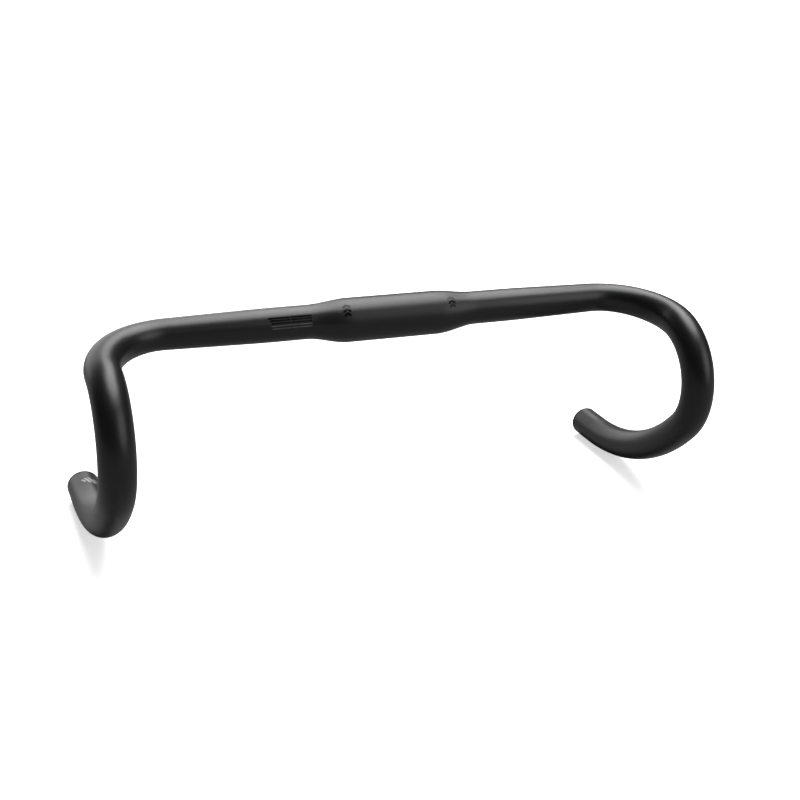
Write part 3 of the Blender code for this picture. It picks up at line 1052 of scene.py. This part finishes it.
class HANDLEBAR_OT_wedge_nuts(bpy.types.Operator):
    """Turns each wedge nut and mills its three leaning flats"""

    bl_idname = "handlebar.wedge_nuts"
    bl_label = "Wedge nuts"

    def execute(self, context):
        plug, line = plug_and_line(context)
        top = nut_top(plug)
        bottom = top - plug.nut_length
        crest = plug.screw_diameter / 2 + plug.running_gap
        outer = ramp_distance(plug, bottom) + plug.nut_corner
        outline = [(outer, top), (outer, bottom + EDGE_BREAK), (outer - EDGE_BREAK, bottom)]
        outline += [(crest + 0.0005, bottom)]
        bore = threaded(crest, crest + 0.0004, top - 0.0004, bottom + 0.0004, plug.thread_pitch)
        outline += bore[::-1] + [(crest + 0.0005, top)]
        nut = turned("wedge_nut", outline, plug.turned_sides, hollow=True)
        for k in range(plug.shoes):
            direction = 2 * math.pi * k / plug.shoes
            on_flat = Vector((math.cos(direction), math.sin(direction), 0)) * ramp_distance(plug, top)
            milled(nut, on_flat + Vector((0, 0, top)), ramp_normal(plug, direction))
        marked_place(shaded(nut, 30))
        finishes = context.scene.handlebar_finishes
        finish = turned_metal("bare_milled_aluminium", finishes.nut_bare, 0.32, 1.0, 0.14, 0.000012)
        fitted(nut, line, "nut", finish, "nut", "nut_steel", "wedge_nut")
        return {"FINISHED"}


class HANDLEBAR_OT_grip_shoes(bpy.types.Operator):
    """Moulds the three ribbed shoes of each plug"""

    bl_idname = "handlebar.grip_shoes"
    bl_label = "Grip shoes"

    def execute(self, context):
        plug, line = plug_and_line(context)
        back = shoe_back(line, plug)
        floor = groove_floor(line, plug)
        top = -plug.shoe_start
        groove = top - plug.groove_start
        below = groove - plug.groove_width
        bottom = top - plug.shoe_length
        outline = [(back - 0.0002, top), (back, top - 0.0002)]
        outline += [(back, groove), (floor, groove), (floor, below)]
        pitch = (below - bottom) / SHOE_RIBS
        for k in range(SHOE_RIBS):
            start = below - k * pitch
            outline += [(back, start), (back, start - 0.62 * pitch)]
            outline += [(back - RIB_DEPTH, start - 0.70 * pitch), (back - RIB_DEPTH, start - 0.92 * pitch)]
        outline += [(back - EDGE_BREAK, bottom)]
        shoe = turned("grip_shoe", outline, plug.turned_sides)
        for way in (1, -1):
            angle = way * (math.pi / plug.shoes + math.pi / 2)
            cheek = Vector((math.cos(angle), math.sin(angle), 0))
            milled(shoe, -cheek * plug.shoe_spacing / 2, cheek)
        foot = ramp_distance(plug, top) + plug.running_gap / math.cos(plug.wedge_angle)
        milled(shoe, Vector((foot, 0, top)), -ramp_normal(plug, 0))
        marked_place(shaded(softened(cleaned(shoe), 0.00006, 1), 30))
        finish = moulded("moulded_nylon", context.scene.handlebar_finishes.shoe_nylon, 0.5, 5.0, 0.00002)
        for k in range(plug.shoes):
            name = f"shoe_{k + 1}"
            direction = 2 * math.pi * k / plug.shoes
            block = duplicated(shoe, "left_" + name)
            fitted(block, line, name, finish, name, "shoe_nylon", "grip_" + name, direction)
        bpy.data.objects.remove(shoe, do_unlink=True)
        return {"FINISHED"}


class HANDLEBAR_OT_shoe_rings(bpy.types.Operator):
    """Makes the rubber ring that holds each plug's shoes together"""

    bl_idname = "handlebar.shoe_rings"
    bl_label = "Shoe rings"

    def execute(self, context):
        plug, line = plug_and_line(context)
        middle = -plug.shoe_start - plug.groove_start - plug.groove_width / 2
        cord = plug.ring_cord / 2
        radius = groove_floor(line, plug) + plug.shoe_travel + plug.running_gap + cord
        start_clean()
        bpy.ops.mesh.primitive_torus_add(
            major_segments=plug.turned_sides,
            minor_segments=16,
            major_radius=radius,
            minor_radius=cord,
            location=(0, 0, middle),
        )
        ring = settled("shoe_ring")
        for vertex in ring.data.vertices:
            if math.hypot(vertex.co.x, vertex.co.y) > radius + 0.999 * cord:
                vertex.co.x *= PARTING_LINE
                vertex.co.y *= PARTING_LINE
        marked_place(shaded(ring, 60))
        finish = moulded("moulded_rubber", context.scene.handlebar_finishes.ring_rubber, 0.72, 7.0, 0.00003)
        fitted(ring, line, "ring", finish, "plug", "ring_rubber", "shoe_ring")
        return {"FINISHED"}


class HANDLEBAR_PT_panel(bpy.types.Panel):
    """Lists the handlebar's sizes and the operators that build it"""

    bl_label = "Drop handlebar"
    bl_idname = "HANDLEBAR_PT_panel"
    bl_space_type = "VIEW_3D"
    bl_region_type = "UI"
    bl_category = "Handlebar"

    def draw(self, context):
        for holder in SETTINGS:
            box = self.layout.box()
            settings = getattr(context.scene, holder)
            for key in settings.bl_rna.properties.keys():
                if key not in ("rna_type", "name"):
                    box.prop(settings, key)
        for operator in OPERATORS:
            self.layout.operator(operator.bl_idname)


SETTINGS = {
    "handlebar_tube": HandlebarTubeSizes,
    "handlebar_marks": HandlebarMarkSizes,
    "handlebar_plug": HandlebarPlugSizes,
    "handlebar_finishes": HandlebarFinishes,
    "handlebar_studio": HandlebarStudio,
}
OPERATORS = (
    HANDLEBAR_OT_studio,
    HANDLEBAR_OT_tube,
    HANDLEBAR_OT_lever_scale,
    HANDLEBAR_OT_taper_marks,
    HANDLEBAR_OT_drop_mark,
    HANDLEBAR_OT_plug_caps,
    HANDLEBAR_OT_plug_screws,
    HANDLEBAR_OT_wedge_nuts,
    HANDLEBAR_OT_grip_shoes,
    HANDLEBAR_OT_shoe_rings,
)


def register():
    for made in (*SETTINGS.values(), *OPERATORS, HANDLEBAR_PT_panel):
        bpy.utils.register_class(made)
    for holder, settings in SETTINGS.items():
        setattr(bpy.types.Scene, holder, PointerProperty(type=settings))


def unregister():
    for holder in SETTINGS:
        delattr(bpy.types.Scene, holder)
    for made in reversed((*SETTINGS.values(), *OPERATORS, HANDLEBAR_PT_panel)):
        bpy.utils.unregister_class(made)


def main():
    register()
    build_groups()
    bpy.ops.handlebar.studio()
    bpy.ops.handlebar.tube()
    bpy.ops.handlebar.lever_scale()
    bpy.ops.handlebar.taper_marks()
    bpy.ops.handlebar.drop_mark()
    bpy.ops.handlebar.plug_caps()
    bpy.ops.handlebar.plug_screws()
    bpy.ops.handlebar.wedge_nuts()
    bpy.ops.handlebar.grip_shoes()
    bpy.ops.handlebar.shoe_rings()
    start_clean()


if __name__ == "__main__":
    main()
